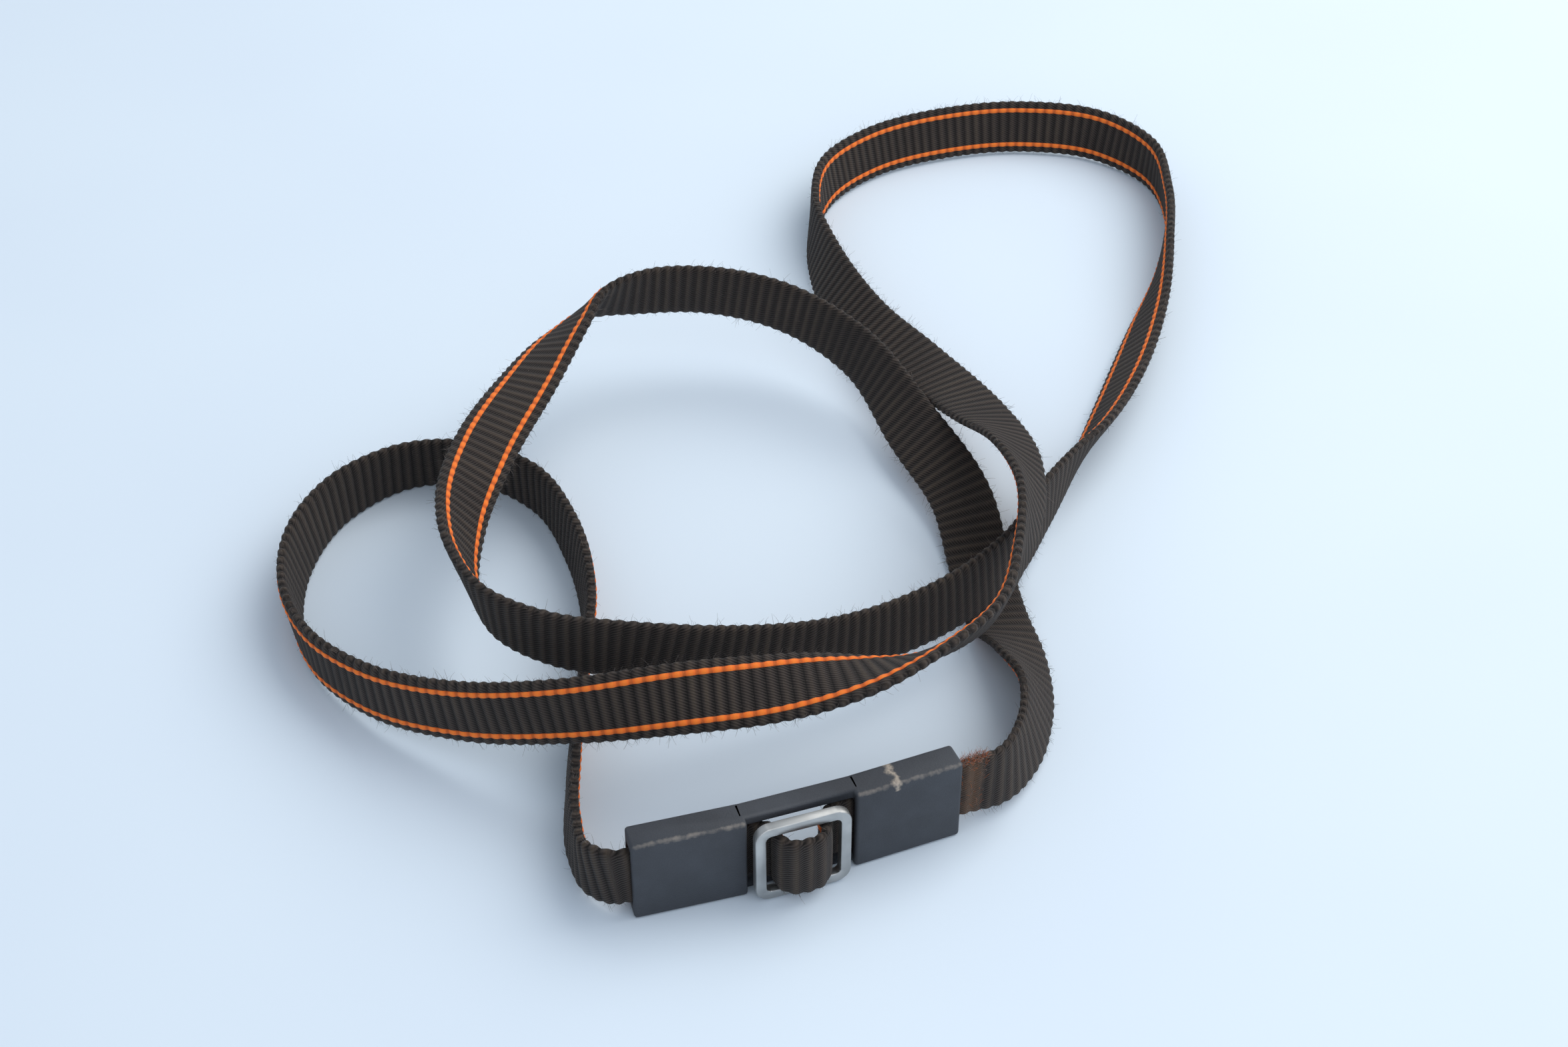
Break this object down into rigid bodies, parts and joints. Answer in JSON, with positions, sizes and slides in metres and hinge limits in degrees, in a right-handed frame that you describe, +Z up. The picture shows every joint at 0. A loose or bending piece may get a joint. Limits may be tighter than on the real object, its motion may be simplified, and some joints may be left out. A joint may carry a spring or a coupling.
{
  "type": "camera neck strap",
  "caption": "Narrow ribbed camera neck strap lying in loose loops, both sides joined by a slotted clip bar and a square metal ring.",
  "frame": {"origin": "centre of the bounding box's bottom face, on the surface the strap lies on", "axes": "+Z up; +Y runs from the clip across the strap to its far loop; +X to the right as seen from the clip's front"},
  "size_m": [0.1499, 0.1987, 0.025],
  "materials": {
    "webbing": "black ribbed woven webbing with two orange stripes on one face, fuzzy edges",
    "clip_plastic": "dark grey moulded, fine grain, worn along the front edges",
    "ring_steel": "satin nickel plating"
  },
  "bodies": {
    "root": {"strap_webbing": "webbing", "clip_bar": "clip_plastic", "lug_ring": "ring_steel"}
  },
  "joints": []
}
